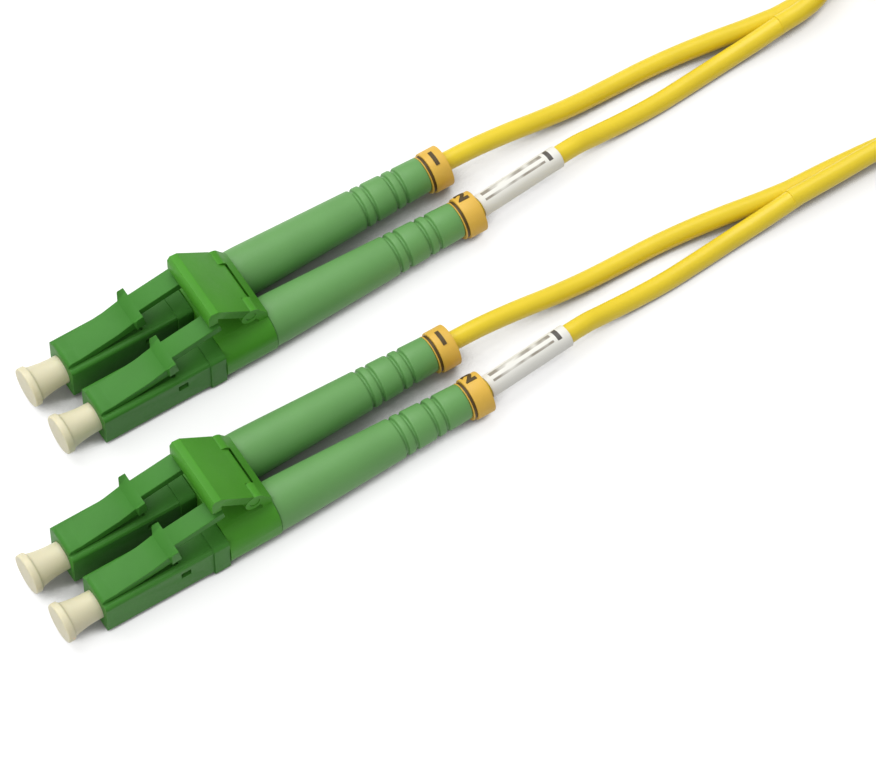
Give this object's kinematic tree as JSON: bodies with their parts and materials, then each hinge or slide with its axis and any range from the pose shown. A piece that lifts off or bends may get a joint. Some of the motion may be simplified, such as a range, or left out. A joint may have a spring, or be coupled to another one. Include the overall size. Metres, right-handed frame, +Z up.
{
  "type": "fiber optic patch cord",
  "caption": "Fiber optic patch cord: green angle-polished duplex plugs with dust caps, latches, triggers and ribbed boots at both ends of a yellow twin cord, the spare cord coiled and tied.",
  "frame": {"origin": "centre of the box round both plug pairs, on the surface that their clips stand on", "axes": "+X along the plugs from the dust caps to the cord, +Z up through the latches"},
  "size_m": [0.1492, 0.044, 0.0114],
  "materials": {
    "housing_green": "moulded plastic, satin gloss",
    "clip_green": "moulded plastic, satin gloss",
    "boot_green": "soft moulded elastomer, matt",
    "cap_ivory": "translucent polyethylene, matt",
    "cord_yellow": "extruded jacket, satin",
    "ring_yellow": "moulded plastic, matt",
    "collar_metal": "nickel plated, bright",
    "crimp_metal": "drawn, satin",
    "spring_steel": "drawn wire",
    "ceramic": "polished zirconia",
    "buffer_white": "tight buffer, satin",
    "label_paper": "printed film, satin",
    "tie_black": "hook-and-loop strap, loop side out"
  },
  "bodies": {
    "root": {"housing_1a": "housing_green", "housing_1b": "housing_green", "housing_2a": "housing_green", "housing_2b": "housing_green", "spring_1a": "spring_steel", "spring_1b": "spring_steel", "spring_2a": "spring_steel", "spring_2b": "spring_steel", "rear_body_1a": "collar_metal", "rear_body_1b": "collar_metal", "rear_body_2a": "collar_metal", "rear_body_2b": "collar_metal", "crimp_sleeve_1a": "crimp_metal", "crimp_sleeve_1b": "crimp_metal", "crimp_sleeve_2a": "crimp_metal", "crimp_sleeve_2b": "crimp_metal", "boot_1a": "boot_green", "boot_1b": "boot_green", "boot_2a": "boot_green", "boot_2b": "boot_green", "marker_ring_1a": "ring_yellow", "marker_ring_1b": "ring_yellow", "marker_ring_2a": "ring_yellow", "marker_ring_2b": "ring_yellow", "fibre_1a": "buffer_white", "fibre_1b": "buffer_white", "fibre_2a": "buffer_white", "fibre_2b": "buffer_white", "cord_leg_1a": "cord_yellow", "cord_leg_1b": "cord_yellow", "cord_leg_2a": "cord_yellow", "cord_leg_2b": "cord_yellow", "clip_body_1": "clip_green", "clip_body_2": "clip_green", "label_1": "label_paper", "label_2": "label_paper", "zip_cord_1": "cord_yellow", "zip_cord_2": "cord_yellow", "cord_coil": "cord_yellow", "coil_ties": "tie_black"},
    "ferrule_unit_1a": {"ferrule_1a": "ceramic", "flange_1a": "collar_metal"},
    "ferrule_unit_1b": {"ferrule_1b": "ceramic", "flange_1b": "collar_metal"},
    "ferrule_unit_2a": {"ferrule_2a": "ceramic", "flange_2a": "collar_metal"},
    "ferrule_unit_2b": {"ferrule_2b": "ceramic", "flange_2b": "collar_metal"},
    "cap_1a": {"dust_cap_1a": "cap_ivory"},
    "cap_1b": {"dust_cap_1b": "cap_ivory"},
    "cap_2a": {"dust_cap_2a": "cap_ivory"},
    "cap_2b": {"dust_cap_2b": "cap_ivory"},
    "latch_arm_1a": {"latch_1a": "housing_green"},
    "latch_arm_1b": {"latch_1b": "housing_green"},
    "latch_arm_2a": {"latch_2a": "housing_green"},
    "latch_arm_2b": {"latch_2b": "housing_green"},
    "trigger_lever_1": {"trigger_1": "clip_green"},
    "trigger_lever_2": {"trigger_2": "clip_green"}
  },
  "joints": [
    {"name": "ferrule_float_1a", "type": "slide", "parent": "root", "child": "ferrule_unit_1a", "axis": [1, 0, 0], "range_m": [0, 0.0006], "stiffness_N_per_m": 1500, "deforming": ["spring_1a"]},
    {"name": "cap_pull_1a", "type": "slide", "parent": "root", "child": "cap_1a", "axis": [-1, 0, 0], "range_m": [0, 0.008]},
    {"name": "ferrule_float_1b", "type": "slide", "parent": "root", "child": "ferrule_unit_1b", "axis": [1, 0, 0], "range_m": [0, 0.0006], "stiffness_N_per_m": 1500, "deforming": ["spring_1b"]},
    {"name": "cap_pull_1b", "type": "slide", "parent": "root", "child": "cap_1b", "axis": [-1, 0, 0], "range_m": [0, 0.008]},
    {"name": "ferrule_float_2a", "type": "slide", "parent": "root", "child": "ferrule_unit_2a", "axis": [1, 0, 0], "range_m": [0, 0.0006], "stiffness_N_per_m": 1500, "deforming": ["spring_2a"]},
    {"name": "cap_pull_2a", "type": "slide", "parent": "root", "child": "cap_2a", "axis": [-1, 0, 0], "range_m": [0, 0.008]},
    {"name": "ferrule_float_2b", "type": "slide", "parent": "root", "child": "ferrule_unit_2b", "axis": [1, 0, 0], "range_m": [0, 0.0006], "stiffness_N_per_m": 1500, "deforming": ["spring_2b"]},
    {"name": "cap_pull_2b", "type": "slide", "parent": "root", "child": "cap_2b", "axis": [-1, 0, 0], "range_m": [0, 0.008]},
    {"name": "trigger_press_1", "type": "hinge", "parent": "root", "child": "trigger_lever_1", "pos_m": [0.0027, 0.0089, 0.00705], "axis": [0, -1, 0], "range_deg": [0, 18], "stiffness_Nm_per_rad": 0.02},
    {"name": "latch_flex_1a", "type": "hinge", "parent": "root", "child": "latch_arm_1a", "pos_m": [-0.0136, 0.01202, 0.00495], "axis": [0, 1, 0], "range_deg": [0, 6]},
    {"name": "latch_flex_1b", "type": "hinge", "parent": "root", "child": "latch_arm_1b", "pos_m": [-0.0136, 0.00577, 0.00495], "axis": [0, 1, 0], "range_deg": [0, 6]},
    {"name": "trigger_press_2", "type": "hinge", "parent": "root", "child": "trigger_lever_2", "pos_m": [-0.0077, -0.0089, 0.00705], "axis": [0, -1, 0], "range_deg": [0, 18], "stiffness_Nm_per_rad": 0.02},
    {"name": "latch_flex_2a", "type": "hinge", "parent": "root", "child": "latch_arm_2a", "pos_m": [-0.024, -0.00577, 0.00495], "axis": [0, 1, 0], "range_deg": [0, 6]},
    {"name": "latch_flex_2b", "type": "hinge", "parent": "root", "child": "latch_arm_2b", "pos_m": [-0.024, -0.01202, 0.00495], "axis": [0, 1, 0], "range_deg": [0, 6]}
  ],
  "couplings": [
    {"joint": "latch_flex_1a", "follows": "trigger_press_1", "ratio": 0.33333},
    {"joint": "latch_flex_1b", "follows": "trigger_press_1", "ratio": 0.33333},
    {"joint": "latch_flex_2a", "follows": "trigger_press_2", "ratio": 0.33333},
    {"joint": "latch_flex_2b", "follows": "trigger_press_2", "ratio": 0.33333}
  ]
}
